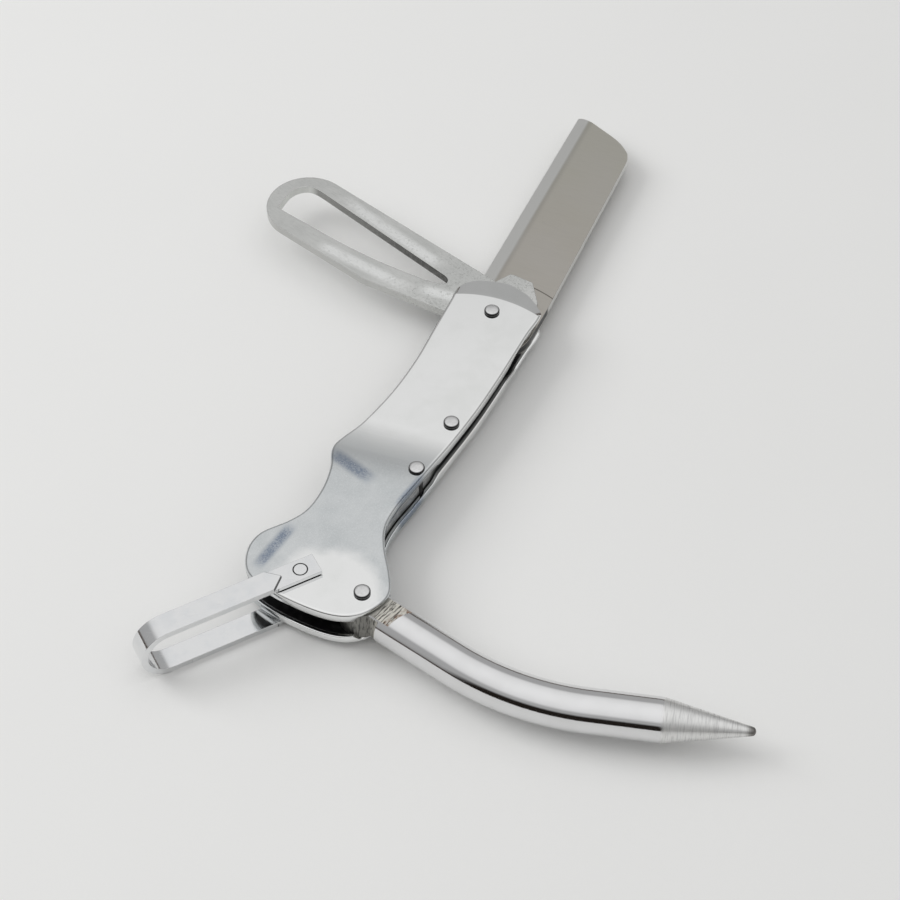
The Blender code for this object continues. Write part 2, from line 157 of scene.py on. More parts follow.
world = bpy.data.worlds.new("studio")
scene.world = world
world.use_nodes = True
studio = Shading(world.node_tree)
sight = studio.node("ShaderNodeSeparateXYZ", {}, {0: studio.node("ShaderNodeTexCoord")["Generated"]})
SKY = ((0.0, (0.06, 0.05, 0.04)), (0.08, (0.10, 0.08, 0.07)), (0.15, (0.40, 0.40, 0.40)),
       (0.60, (0.43, 0.43, 0.43)), (0.73, (0.80, 0.80, 0.80)), (1.0, (0.95, 0.95, 0.95)))
sky = studio.node("ShaderNodeValToRGB", {"stops": SKY}, {"Fac": sight["Z"]})["Color"]
onlooker = sight["X"] * math.cos(math.radians(-93)) + sight["Y"] * math.sin(math.radians(-93))
onlooker = onlooker.step(0.76, 0.90) * (1 - sight["Z"].step(0.34, 0.50))
sky = studio.mix(onlooker, sky, (0.015, 0.012, 0.010, 1.0))
world.node_tree.links.new(sky.socket, world.node_tree.nodes["Background"].inputs["Color"])

lamp_data = bpy.data.lights.new("soft_lamp", "AREA")
lamp_data.shape = "RECTANGLE"
lamp_data.size = 0.7
lamp_data.size_y = 0.7
lamp_data.energy = 5.6
lamp = bpy.data.objects.new("soft_lamp", lamp_data)
scene.collection.objects.link(lamp)
lamp.location = (-0.95, -0.10, 0.75)
lamp.visible_glossy = False
lamp.rotation_euler = (Vector((0.0, -0.03, 0.0)) - lamp.location).to_track_quat("-Z", "Y").to_euler()


class Finish(Shading):
    """A surface with coordinates of its own, in millimetres from a centre and turned about +Z."""

    def __init__(self, name, colour, roughness, angle=0.0, centre=(0.0, 0.0)):
        self.material = bpy.data.materials.new(name)
        self.material.use_nodes = True
        super().__init__(self.material.node_tree)
        self.shader = self.tree.nodes["Principled BSDF"]
        self.shader.inputs["Metallic"].default_value = 1.0
        self.shader.inputs["Roughness"].default_value = roughness
        self.shader.inputs["Base Color"].default_value = (*colour, 1.0)
        where = self.node("ShaderNodeTexCoord")
        to_own = self.node("ShaderNodeMapping", {"vector_type": "TEXTURE"}, {0: where["Object"]})
        mapping = self.tree.nodes[-1]
        mapping.inputs["Location"].default_value = (centre[0] * MM, centre[1] * MM, MIDDLE * MM)
        mapping.inputs["Rotation"].default_value = (0.0, 0.0, math.radians(angle))
        mapping.inputs["Scale"].default_value = (MM, MM, MM)
        self.own = to_own["Vector"]
        parts = self.node("ShaderNodeSeparateXYZ", {}, {0: self.own})
        self.x, self.y, self.z = parts["X"], parts["Y"], parts["Z"]

    def noise(self, stretch=(1.0, 1.0, 1.0), scale=1.0, detail=3.0, roughness=0.5, turn=0.0):
        """Noise in 0 to 1, with this many features to the millimetre along each axis."""
        vector = self.own
        if turn:
            links = {"Vector": vector, "Angle": math.radians(turn)}
            vector = self.node("ShaderNodeVectorRotate", {"rotation_type": "Z_AXIS"}, links)["Vector"]
        scaled = self.node("ShaderNodeVectorMath", {"operation": "MULTIPLY"}, {0: vector, 1: stretch})
        links = {"Vector": scaled["Vector"], "Scale": scale, "Detail": detail, "Roughness": roughness}
        made = self.node("ShaderNodeTexNoise", {}, links)
        return made.get("Fac") or made["Factor"]

    def colour(self, amount, other):
        """The base colour goes to another colour by this amount."""
        base = self.shader.inputs["Base Color"]
        before = tuple(base.default_value)
        if base.is_linked:
            before = Value(self.tree, base.links[0].from_socket)
        self.tree.links.new(self.mix(amount, before, (*other, 1.0)).socket, base)

    def streak(self, start, end, width):
        """1 on the line between two points, fading to 0 at this distance from it."""
        run = math.dist(start, end)
        ahead = ((end[0] - start[0]) / run, (end[1] - start[1]) / run)
        x, y = self.x - start[0], self.y - start[1]
        along = x * ahead[0] + y * ahead[1]
        across = (y * ahead[0] - x * ahead[1]).math("ABSOLUTE")
        return (1 - across.step(0.2 * width, width)) * along.step(-width, width) * (
            1 - along.step(run - width, run + width))

    def rough(self, value):
        put(self.tree, self.shader.inputs["Roughness"], value)

    def bump(self, height, depth):
        """A height of 0 to 1 becomes relief of this depth in millimetres."""
        links = {"Strength": 1.0, "Distance": depth * MM, "Height": height}
        put(self.tree, self.shader.inputs["Normal"], self.node("ShaderNodeBump", {}, links)["Normal"])


table_top = Finish("table_paper", (0.87, 0.87, 0.86), 0.6)
table_top.shader.inputs["Metallic"].default_value = 0.0
table_top.shader.inputs["Specular IOR Level"].default_value = 0.25
table_top.colour(table_top.noise(scale=0.02, detail=4.0), (0.85, 0.85, 0.84))
table_top.bump(table_top.noise(scale=2.0, detail=4.0), 0.02)
table.data.materials.append(table_top.material)

# Scales: a mirror-polished sheet on each side, thicker at the spike end, with rounded edges, walls
# turned in round the spike end and down the right side, and a ground flat across the blade end.
PIVOT_SPACING = 82.4
SHEET = 1.0
INNER_HALF = 2.65
THIN_HALF = 3.65
THICK_HALF = 4.75
STRIP_FOOT = 1.6
HOLE = 1.3
LUG_HOLE = 1.9
EDGE_ROUND = 0.6
RIM_ROUND = 0.12
RAMP_TOP = -0.46 * PIVOT_SPACING
RAMP_BOTTOM = -0.68 * PIVOT_SPACING
BAIL_LUG = (-13.3, -PIVOT_SPACING + 0.6)
RIVETS = (("pivot_rivet", (0.0, 0.0)), ("spring_rivet_upper", (2.1, -0.413 * PIVOT_SPACING)),
          ("spring_rivet_lower", (-0.5, -0.592 * PIVOT_SPACING)),
          ("spike_rivet", (0.0, -PIVOT_SPACING)))


def on_sides(points):
    """Points on the long sides, at a share of the way from the blade's pivot to the spike's."""
    return [(x, -share * PIVOT_SPACING) for x, share in points]


def on_lobe(points):
    """Points round the spike end, measured from the spike's pivot."""
    return [(x, y - PIVOT_SPACING) for x, y in points]


OUTLINE_POINTS = (
    [(0.0, 10.1), (-5.5, 9.2), (-8.5, 7.4), (-9.9, 4.8), (-10.0, 0.9), (-10.7, -9.1)]
    + on_sides([(-11.4, 0.232), (-13.0, 0.353), (-15.8, 0.475), (-18.7, 0.558)])
    + on_sides([(-19.2, 0.598), (-17.7, 0.658), (-17.2, 0.728), (-18.1, 0.800)])
    + on_lobe([(-20.5, 12.4), (-24.9, 7.4), (-25.7, 2.4), (-23.4, -2.6)])
    + on_lobe([(-17.4, -5.3), (-8.7, -6.9), (-2.6, -6.8), (1.6, -4.9)])
    + on_lobe([(4.3, -1.4), (5.1, 2.0), (3.6, 6.2), (0.2, 12.5)])
    + on_sides([(-1.3, 0.788), (-0.8, 0.717), (0.8, 0.641), (4.1, 0.467)])
    + on_sides([(6.1, 0.352), (7.6, 0.237)])
    + [(8.8, -10.0), (9.6, -3.6), (10.5, 1.4), (10.1, 4.0), (6.4, 7.7), (3.1, 9.3)]
)


def curve(points, steps, closed=False):
    """A Catmull-Rom curve through the points, with this many steps from each to the next."""
    ends = (points[-1:], points[:2]) if closed else (points[:1], points[-1:])
    around = ends[0] + points + ends[1]
    path = []
    for i in range(len(around) - 3):
        near = around[i:i + 4]
        for step in range(steps):
            t = step / steps
            weights = (-0.5 * t + t * t - 0.5 * t**3, 1 - 2.5 * t * t + 1.5 * t**3,
                       0.5 * t + 2 * t * t - 1.5 * t**3, -0.5 * t * t + 0.5 * t**3)
            path.append(tuple(sum(w * p[axis] for w, p in zip(weights, near)) for axis in (0, 1)))
    return path if closed else path + points[-1:]


def eased(value):
    value = min(max(value, 0.0), 1.0)
    return value * value * (3 - 2 * value)


def face_height(y):
    """Height of the polished face above the middle plane, with a straight ramp across the waist."""
    share = (RAMP_TOP - y) / (RAMP_TOP - RAMP_BOTTOM)
    return THIN_HALF + (THICK_HALF - THIN_HALF) * min(max(share, 0.0), 1.0)


def wall_foot(x, y):
    """Height at which a scale's turned-in wall ends."""
    ceiling = face_height(y) - SHEET
    if x <= -6:
        return INNER_HALF
    rise = min(-9.0 - y, 3 * (y + 0.56 * PIVOT_SPACING)) / 6.0
    if rise > 0:
        return min(ceiling, INNER_HALF) - eased(rise) * (INNER_HALF - STRIP_FOOT)
    from_pivot = y + PIVOT_SPACING
    opened = eased(min(from_pivot + 5.8, 10.9 - from_pivot) / 0.5) if x > 0.4 else 0.0
    return INNER_HALF + (ceiling - INNER_HALF) * opened


def ground_end(x):
    """Where the flat face ends at the blade end."""
    return 4.3 - 0.018 * (x + 0.5) ** 2


OUTLINE = curve(OUTLINE_POINTS, 8, closed=True)
ROUND_STEPS = 5
GROUND_DEPTH = THIN_HALF - INNER_HALF - 0.15


def loft(bm, rings):
    """A closed solid, its first ring extruded to each of the others, which have as many points."""
    made = [[bm.verts.new(point) for point in rings[0]]]
    face = bm.faces.new(made[0])
    for ring in rings[1:]:
        face = bmesh.ops.extrude_discrete_faces(bm, faces=[face])["faces"][0]
        for vert, point in zip(face.verts, ring):
            vert.co = point
        made.append(list(face.verts))
    bm.faces.new(reversed(made[0]))
    for wall in {wall for ring in made for vert in ring for wall in vert.link_faces}:
        wall.smooth = len(wall.verts) == 4
    return made


def inset_point(i, distance):
    """One point of the outline, moved inwards."""
    x, y = OUTLINE[i]
    before, after = OUTLINE[i - 1], OUTLINE[(i + 1) % len(OUTLINE)]
    turn = math.atan2(after[1] - before[1], after[0] - before[0]) + math.pi / 2
    return x + distance * math.cos(turn), y + distance * math.sin(turn)


def section_point(kind, amount, i):
    """A point of the sheet's section at one point of the outline, with its height above the middle."""
    x, y = OUTLINE[i]
    face = face_height(y)
    foot = wall_foot(x, y)
    end = ground_end(x)
    ground = eased((y - end - 0.3) / 0.8)
    if kind == "ceiling":
        return (*inset_point(i, amount), face - SHEET)
    if kind == "foot_in":
        return (*inset_point(i, amount), min(foot + RIM_ROUND, face - SHEET))
    if kind == "foot":
        return (*inset_point(i, amount), foot)
    if kind == "foot_out":
        return (x, y, min(foot + RIM_ROUND, face - EDGE_ROUND))
    rounded_x, _ = inset_point(i, EDGE_ROUND)
    if kind == "face":
        px, py = inset_point(i, amount)
        return (px + ground * (rounded_x - px), min(py, end - 0.1), face)
    turn = amount * math.pi / 2
    px, py = inset_point(i, EDGE_ROUND * (1 - math.cos(turn)))
    ground_x, ground_y = x + amount * (rounded_x - x), y + amount * (end - y)
    px, py = px + ground * (ground_x - px), py + ground * (ground_y - py)
    py = min(py, ground_y) if y > end else py
    down = EDGE_ROUND * (1 - math.sin(turn))
    return (px, py, face - down - ground * (GROUND_DEPTH * (1 - amount) - down))


def line_across(bm, point, normal):
    """Cuts a line of edges round a mesh, on a plane."""
    whole = list(bm.verts) + list(bm.edges) + list(bm.faces)
    bmesh.ops.bisect_plane(bm, geom=whole, plane_co=point, plane_no=normal)


def scale_mesh(side):
    """One scale, with its faces inside the handle given the second metal."""
    kinds = [("ceiling", SHEET), ("foot_in", SHEET), ("foot", SHEET - RIM_ROUND), ("foot", RIM_ROUND)]
    kinds += [("foot_out", 0.0)] + [("edge", i / ROUND_STEPS) for i in range(ROUND_STEPS + 1)]
    kinds += [("face", EDGE_ROUND + 0.1)]
    bm = bmesh.new()
    made = loft(bm, [[section_point(*kind, i) for i in range(len(OUTLINE))] for kind in kinds])
    inner = set(made[0]) | set(made[1])
    lip = set(made[2]) | set(made[3])
    for face in bm.faces:
        above_lobe = face.calc_center_median().y > -0.8 * PIVOT_SPACING
        # The upper scale's wall foot above the lobe also gets the near-black second metal, as painted
        # shade in the gap.
        shaded_lip = side > 0 and above_lobe and lip.issuperset(face.verts)
        if inner.issuperset(face.verts) or shaded_lip:
            face.material_index = 1
    ground_foot = set(made[5])
    for edge in bm.edges:
        on_ground = any(vert.co.y > ground_end(vert.co.x) + 1.0 for vert in edge.verts)
        if on_ground and ground_foot.issuperset(edge.verts):
            edge.smooth = False
    ramp = [RAMP_TOP + (RAMP_BOTTOM - RAMP_TOP) * i / 16 for i in range(17)]
    for y in [2.4, -2.6, -20.0] + ramp + [-70.0, -79.5, -85.0]:
        line_across(bm, (0, y, 0), (0, 1, 0))
    for face in bm.faces:
        if RAMP_BOTTOM < face.calc_center_median().y < RAMP_TOP:
            face.smooth = True
    for vert in bm.verts:
        share = (RAMP_TOP - vert.co.y) / (RAMP_TOP - RAMP_BOTTOM)
        if vert.co.z > INNER_HALF + 0.15:
            vert.co.z += (THICK_HALF - THIN_HALF) * (eased(share) - min(max(share, 0.0), 1.0))
        vert.co.z = MIDDLE + side * vert.co.z
    bmesh.ops.remove_doubles(bm, verts=bm.verts, dist=1e-3)
    return bm


def round_bar(bm, at, radius, low, high):
    """A round bar along Z between two heights."""
    place = Matrix.Translation((*at, (low + high) / 2))
    return bmesh.ops.create_cone(bm, cap_ends=True, segments=64, radius1=radius, radius2=radius,
                                 depth=high - low, matrix=place)["verts"]


def finish_piece(name, bm, body, metals, replaced, round_edges=0.0):
    """Puts a mesh made in millimetres into the scene, with a metal for each of its kinds of face."""
    bm.normal_update()
    bmesh.ops.recalc_face_normals(bm, faces=bm.faces)
    bmesh.ops.scale(bm, vec=(MM, MM, MM), verts=bm.verts)
    mesh = bpy.data.meshes.new(name)
    bm.to_mesh(mesh)
    bm.free()
    piece = bpy.data.objects.new(name, mesh)
    scene.collection.objects.link(piece)
    for each in metals:
        mesh.materials.append(each.material)
    if round_edges:
        bevel = piece.modifiers.new("rounded_edges", "BEVEL")
        bevel.width = round_edges * MM
        bevel.segments = 2
        bevel.limit_method = "ANGLE"
        bevel.angle_limit = math.radians(28)
        bevel.harden_normals = True
    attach(piece, body)
    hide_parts(*replaced)
    return piece


def combine(piece, other, operation="DIFFERENCE"):
    """Cuts another mesh out of a piece, or joins it on. The new faces get the piece's last metal."""
    other.normal_update()
    bmesh.ops.recalc_face_normals(other, faces=other.faces)
    bmesh.ops.scale(other, vec=(MM, MM, MM), verts=other.verts)
    for face in other.faces:
        face.material_index = len(piece.data.materials) - 1
    mesh = bpy.data.meshes.new("tool")
    other.to_mesh(mesh)
    other.free()
    for metal in piece.data.materials:
        mesh.materials.append(metal)
    tool = bpy.data.objects.new("tool", mesh)
    scene.collection.objects.link(tool)
    modifier = piece.modifiers.new("combine", "BOOLEAN")
    modifier.operation = operation
    modifier.solver = "EXACT"
    modifier.object = tool
    bpy.context.view_layer.objects.active = piece
    while piece.modifiers.find("combine") > 0:
        bpy.ops.object.modifier_move_up(modifier="combine")
    bpy.ops.object.modifier_apply(modifier="combine")
    bpy.data.objects.remove(tool)


def mirror_steel(name, tint):
    """Polished sheet: bright, with a painted blue-grey reflection past the waist, painted dark reflections
    in streaks, and long fine scratches.
    """
    metal = Finish(name, tint, 0.07)
    cloud = metal.noise(scale=0.12, detail=4.0, roughness=0.6)
    grit = metal.noise(scale=3.5, detail=4.0, roughness=0.75)
    fine = metal.noise(stretch=(0.15, 9.0, 1.0), turn=35.0, detail=2.0).step(0.70, 0.76)
    cross = metal.noise(stretch=(7.0, 0.12, 1.0), turn=-20.0, detail=2.0).step(0.71, 0.77)
    lobe_x, lobe_y = metal.x + 7.0, metal.y + PIVOT_SPACING + 2.6
    apart = (lobe_x * lobe_x + lobe_y * lobe_y).math("SQRT") + cloud * 5.0
    # The waist mask holds a painted blue-grey reflection past the waist, except round the lobe, with
    # lighter specks in it.
    waist = (1 - (metal.y + cloud * 8.0).step(-47.0, -36.0)) * apart.step(11.5, 15.5)
    metal.colour(cloud.step(0.40, 0.75) * 0.25, (0.70, 0.715, 0.69))
    metal.colour(waist * (cloud * 0.6 + 0.35), (0.48, 0.51, 0.525))
    metal.colour(waist * grit.step(0.45, 0.7) * 0.35, (0.80, 0.83, 0.84))
    # Painted dark blue reflections, in streaks across the sheet.
    for start, end, width in (((-18.5, -50.5), (-9.0, -54.5), 2.4), ((-22.0, -82.5), (-19.5, -72.0), 1.9),
                              ((1.6, -50.5), (-0.6, -59.0), 1.5), ((6.0, -36.0), (4.0, -43.0), 0.9)):
        dark = metal.streak(start, end, width) * (grit.step(0.35, 0.65) * 0.5 + 0.35)
        metal.colour(dark, (0.10, 0.15, 0.24))
    metal.rough(cloud * 0.05 + 0.05 + fine * 0.14 + cross * 0.10 + waist * 0.05)
    waves = metal.noise(scale=0.05, detail=1.0)
    metal.bump(waves + fine * 0.002 + cross * 0.002, 0.05)
    return metal


def shaded_inside(name):
    """The inside of a pressed sheet, dull, and painted near-black as shade inside the hollow handle."""
    metal = Finish(name, (0.07, 0.07, 0.072), 0.4)
    patches = metal.noise(scale=0.6, detail=4.0)
    metal.colour(patches.step(0.45, 0.7) * 0.6, (0.13, 0.13, 0.13))
    metal.rough(patches * 0.3 + 0.25)
    return metal


for name, side in (("upper_scale", 1), ("lower_scale", -1)):
    # Each scale's second metal is painted near-black as shade inside the handle.
    metals = [mirror_steel(name + "_polish", (0.86, 0.865, 0.86)), shaded_inside(name + "_inside")]
    shell = finish_piece(name + "_sheet", scale_mesh(side), "handle", metals, [name])
    low, high = sorted((MIDDLE - side * 2.0, MIDDLE + side * 8.0))
    holes = bmesh.new()
    for _, at in RIVETS:
        round_bar(holes, at, HOLE, low, high)
    round_bar(holes, BAIL_LUG, LUG_HOLE, low, high)
    combine(shell, holes)

# Liner and back springs: plain steel plates, held between the scales by the rivets. They keep their shapes
# from the frame. Their sawn edges are dull, with a fine grain across them. The springs are painted dark as
# shade in the gap, and light toward the spike end.
for name, tint in (("centre_liner", 0.60), ("key_spring", 0.24), ("blade_spring", 0.18)):
    metal = Finish(name + "_steel", (tint, tint, tint * 0.99), 0.32)
    grain = metal.noise(stretch=(6.0, 6.0, 1.0), detail=4.0)
    # Painted light toward the spike end; nearer the blade the springs stay dark as painted shade.
    metal.colour(1 - metal.y.step(-52.0, -40.0), (0.62, 0.62, 0.61))
    metal.colour(grain.step(0.45, 0.75) * 0.4, (tint * 0.55, tint * 0.53, tint * 0.5))
    metal.rough(grain * 0.25 + 0.22)
    metal.bump(grain, 0.03)
    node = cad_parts[name]
    node.data.materials.clear()
    node.data.materials.append(metal.material)

# Rivets: turned steel pins through both scales. Each head is slightly domed with a rounded edge, and
# stands on the polished sheet, with a painted dark reflection and shade round its side.
HEAD = 1.7
HEAD_HEIGHT = 0.85
SHANK = 1.2
DOME_ROUND = 0.4


def spin_round(bm, profile, closed=False):
    """Spins a line of radii and heights about Z."""
    points = [bm.verts.new((radius, 0.0, height)) for radius, height in profile]
    pairs = zip(points, points[1:] + points[:1] if closed else points[1:])
    edges = [bm.edges.new(pair) for pair in pairs]
    bmesh.ops.spin(bm, geom=points + edges, cent=(0, 0, 0), axis=(0, 0, 1), angle=2 * math.pi,
                   steps=64, use_merge=True)
    bmesh.ops.remove_doubles(bm, verts=bm.verts, dist=1e-4)


def turned(bm, at, angle):
    """Turns a mesh about its own centre and moves it to its place on the knife."""
    bm.transform(Matrix.Translation((at[0], at[1], MIDDLE)) @ Matrix.Rotation(math.radians(angle), 4, "Z"))


for name, at in RIVETS:
    slope = (THICK_HALF - THIN_HALF) / (RAMP_TOP - RAMP_BOTTOM)
    lift = HEAD * slope if RAMP_BOTTOM < at[1] < RAMP_TOP else 0.0
    face = face_height(at[1])
    top = face + HEAD_HEIGHT
    profile = [(0.0, top), (0.35 * HEAD, top - 0.01), (0.6 * HEAD, top - 0.05)]
    profile += [(0.6 * HEAD + 0.4 * HEAD * math.sin(turn), top - 0.45 + DOME_ROUND * math.cos(turn))
                for turn in (math.radians(15 * i) for i in range(1, 7))]
    profile += [(HEAD, face + lift + 0.05), (SHANK, face + lift + 0.04)]
    profile += [(radius, -height) for radius, height in reversed(profile)]
    bm = bmesh.new()
    spin_round(bm, profile)
    for wall in bm.faces:
        wall.smooth = True
    turned(bm, at, 0.0)
    metal = Finish(name + "_steel", (0.74, 0.74, 0.74), 0.12, centre=at)
    dints = metal.noise(scale=1.2, detail=4.0)
    height = metal.z.math("ABSOLUTE")
    metal.colour(dints.step(0.4, 0.7) * 0.5, (0.60, 0.60, 0.60))
    # Painted dark reflection and shade round the head's side, below its top.
    metal.colour(1 - height.step(top - 0.24, top - 0.10), (0.03, 0.03, 0.03))
    metal.rough(dints * 0.14 + 0.10)
    metal.bump(dints, 0.02)
    finish_piece(name + "_pin", bm, "handle", [metal], [name])

# Blade: a satin-ground plate that turns on the pivot rivet, in the lower of the two layers. It has a
# rounded point, a straight edge with one flat bevel, and a fine line across where its grinding starts.
BLADE_ANGLE = 85.4
BLADE_REACH = PIVOT_SPACING - 8.3
BLADE_EDGE = 7.7
BLADE_SPINE = 9.5
EDGE_BEVEL = 3.5
LAYER = 2.1
LAYER_MIDDLE = 1.5


def arc(centre, radius, start, end, steps):
    """Points on an arc, the angles in degrees."""
    found = []
    for i in range(steps + 1):
        angle = math.radians(start + (end - start) * i / steps)
        found.append((centre[0] + radius * math.cos(angle), centre[1] + radius * math.sin(angle)))
    return found


tip = [(BLADE_REACH - 0.05, BLADE_EDGE - 0.15), (BLADE_REACH - 0.15, BLADE_EDGE - 1.8)]
tip += [(BLADE_REACH - 2.3, 1.0), (BLADE_REACH - 5.0, -0.47 * BLADE_SPINE)]
tip += [(BLADE_REACH - 7.8, -0.81 * BLADE_SPINE), (BLADE_REACH - 9.3, -0.90 * BLADE_SPINE)]
tip += [(BLADE_REACH - 11.0, -0.945 * BLADE_SPINE), (BLADE_REACH - 14.0, -0.955 * BLADE_SPINE)]
outline = curve(tip, 5) + [(26.0, -BLADE_SPINE), (10.0, -BLADE_SPINE - 0.2)]
outline += arc((0.0, 0.0), BLADE_SPINE, 270, 130, 24) + [(0.0, BLADE_EDGE + 0.2)]
outline += [(BLADE_REACH - 0.3, BLADE_EDGE)]
bm = bmesh.new()
loft(bm, [[(x, y, z) for x, y in reversed(outline)] for z in (-LAYER / 2, LAYER / 2)])
bevel_line = BLADE_EDGE - EDGE_BEVEL
RICASSO = 10.5
RUN_IN = 2.0
soft_crease = [bevel_line + EDGE_BEVEL * (i / 12 - 0.25) for i in range(7)]
for y in soft_crease:
    line_across(bm, (0, y, 0), (0, 1, 0))
for x in (RICASSO, RICASSO + RUN_IN):
    line_across(bm, (x, 0, 0), (1, 0, 0))
for vert in bm.verts:
    across = (vert.co.y - bevel_line) / EDGE_BEVEL
    across = (across + 0.25) ** 2 if abs(across) < 0.25 else min(max(across, 0.0), 1.0)
    forward = min(max((vert.co.x - RICASSO) / RUN_IN, 0.0), 1.0)
    vert.co.z = vert.co.z * (1 - 0.86 * across * forward) - LAYER_MIDDLE
for face in bm.faces:
    face.smooth = soft_crease[0] < face.calc_center_median().y < soft_crease[-1]
turned(bm, (0.0, 0.0), BLADE_ANGLE)
metal = Finish("blade_satin", (0.50, 0.475, 0.43), 0.33, BLADE_ANGLE)
cloud = metal.noise(scale=0.06, detail=3.0)
grind = metal.noise(stretch=(6.0, 0.25, 1.0), detail=3.0)
spots = metal.noise(scale=0.5, detail=5.0, roughness=0.7).step(0.66, 0.78)
metal.colour(metal.x.step(20.0, 70.0) * 0.8, (0.51, 0.50, 0.44))
metal.colour(cloud.step(0.3, 0.75) * 0.5, (0.52, 0.50, 0.47))
metal.colour((metal.y + cloud * 1.5).step(bevel_line + 0.3, bevel_line + 2.6) * 0.8, (0.68, 0.68, 0.66))
metal.colour(grind.step(0.4, 0.8) * 0.20, (0.42, 0.40, 0.37))
metal.colour(spots * 0.12, (0.30, 0.29, 0.27))
grind_start = (metal.x - RICASSO - 4.2 + metal.y * metal.y * 0.02).math("ABSOLUTE")
metal.colour((1 - grind_start.step(0.08, 0.2)) * (1 - metal.y.step(-4.5, -2.5)) * 0.8, (0.08, 0.07, 0.06))
# The plate's side walls are painted: light as a highlight past the ricasso, near-black as shade nearer the
# pivot.
wall = 1 - (metal.z + LAYER_MIDDLE).math("ABSOLUTE").step(0.80, 0.98)
outside = metal.x.step(RICASSO - 1.5, RICASSO)
metal.colour(wall * outside, (0.80, 0.80, 0.78))
metal.colour(wall * (1 - outside), (0.06, 0.06, 0.06))
metal.rough(grind * 0.16 + 0.24 + spots * 0.1)
metal.bump(grind, 0.006)
blade = finish_piece("blade_plate", bm, "blade_body", [metal], ["blade"], 0.1)
hole = bmesh.new()
round_bar(hole, (0.0, 0.0), HOLE, -8.0, 12.0)
combine(blade, hole)

# Shackle key: a satin plate that turns on the pivot rivet, in the upper layer. It has a round end, a
# long slot sawn through it, and a squared tang that covers the blade's root.
KEY_ANGLE = 158.1
KEY_END = PIVOT_SPACING - 26.7
KEY_END_RADIUS = 9.65
outline = [(6.1, -8.6), (KEY_END, 0.9 - KEY_END_RADIUS)]
outline += arc((KEY_END, 0.9), KEY_END_RADIUS, -84, 84, 42)
outline += [(KEY_END, 0.9 + KEY_END_RADIUS), (30.0, 10.3), (8.8, 5.9)]
outline += arc((0.0, 0.0), 9.4, 66, 218, 24)
outline += [(-5.4, -9.6), (-0.5, -13.8), (4.2, -13.0), (5.1, -12.6)]
bm = bmesh.new()
low = LAYER_MIDDLE - LAYER / 2
loft(bm, [[(x, y, z) for x, y in outline] for z in (low, low + LAYER)])
turned(bm, (0.0, 0.0), KEY_ANGLE)
metal = Finish("key_satin", (0.70, 0.705, 0.69), 0.24, KEY_ANGLE)
cloud = metal.noise(scale=0.10, detail=4.0, roughness=0.6)
grain = metal.noise(stretch=(0.5, 4.0, 1.0), detail=4.0)
speckle = metal.noise(scale=1.8, detail=4.0, roughness=0.7).step(0.52, 0.66)
near_tang = 1 - metal.x.step(10.0, 34.0)
metal.colour(cloud.step(0.35, 0.65) * 0.6, (0.58, 0.59, 0.575))
metal.colour(grain.step(0.45, 0.8) * 0.3, (0.50, 0.50, 0.49))
metal.colour(speckle * near_tang * 0.55, (0.38, 0.385, 0.37))
for start, end in (((20.0, 6.0), (44.0, 8.6)), ((20.0, -4.4), (50.0, -6.0)), ((9.0, 1.0), (17.0, 4.0))):
    glint = metal.streak(start, end, 2.2) * (1 - speckle * 0.6) * cloud.step(0.25, 0.5)
    metal.colour(glint * 0.8, (0.96, 0.97, 0.96))
# The plate's side walls are painted half-way to dark grey, as shade along them.
wall = 1 - (metal.z - LAYER_MIDDLE).math("ABSOLUTE").step(0.80, 0.98)
metal.colour(wall * 0.5, (0.42, 0.42, 0.41))
metal.rough(grain * 0.16 + 0.14 + speckle * near_tang * 0.1)
metal.bump(grain * 0.3 + cloud, 0.02)
sawn_wall_with_highlight = Finish("key_slot_wall", (0.16, 0.16, 0.155), 0.4, KEY_ANGLE)
marks = sawn_wall_with_highlight.noise(stretch=(3.0, 3.0, 0.5), detail=3.0)
sawn_wall_with_highlight.colour(marks.step(0.45, 0.7) * 0.7, (0.34, 0.34, 0.33))
# Lighter toward the round end of the slot, where the end wall is painted near-white as a highlight.
sawn_wall_with_highlight.colour(sawn_wall_with_highlight.x.step(22.0, 56.0) * 0.8, (0.40, 0.40, 0.39))
sawn_wall_with_highlight.colour(sawn_wall_with_highlight.x.step(57.0, 60.0) * 0.9, (0.85, 0.86, 0.84))
sawn_wall_with_highlight.bump(marks, 0.03)
key = finish_piece("key_plate", bm, "key_body", [metal, sawn_wall_with_highlight], ["shackle_key"], 0.16)
slot = [(KEY_END + 6.2, 0.6), (KEY_END + 5.9, -1.6), (KEY_END + 4.6, -3.6), (KEY_END + 2.8, -4.4)]
slot += [(KEY_END + 0.3, -4.5)]
slot = curve(slot, 4) + [(16.3, -2.5)]
slot += curve([(16.3, -2.5), (14.9, -2.1), (14.3, -1.0), (15.2, 0.2), (19.4, 1.65)], 4)[1:]
slot += curve([(19.4, 1.65), (30.8, 3.9), (0.743 * KEY_END, 5.1), (0.917 * KEY_END, 5.6)], 4)[1:]
slot += curve([(0.917 * KEY_END, 5.6), (KEY_END + 3.6, 6.0), (KEY_END + 4.7, 5.6),
               (KEY_END + 5.2, 4.4), (KEY_END + 6.2, 0.6)], 4)[1:-1]
opening = bmesh.new()
loft(opening, [[(x, y, z) for x, y in reversed(slot)] for z in (-6.0, 12.0)])
round_bar(opening, (0.0, 0.0), HOLE, -6.0, 12.0)
turned(opening, (0.0, 0.0), KEY_ANGLE)
combine(key, opening)

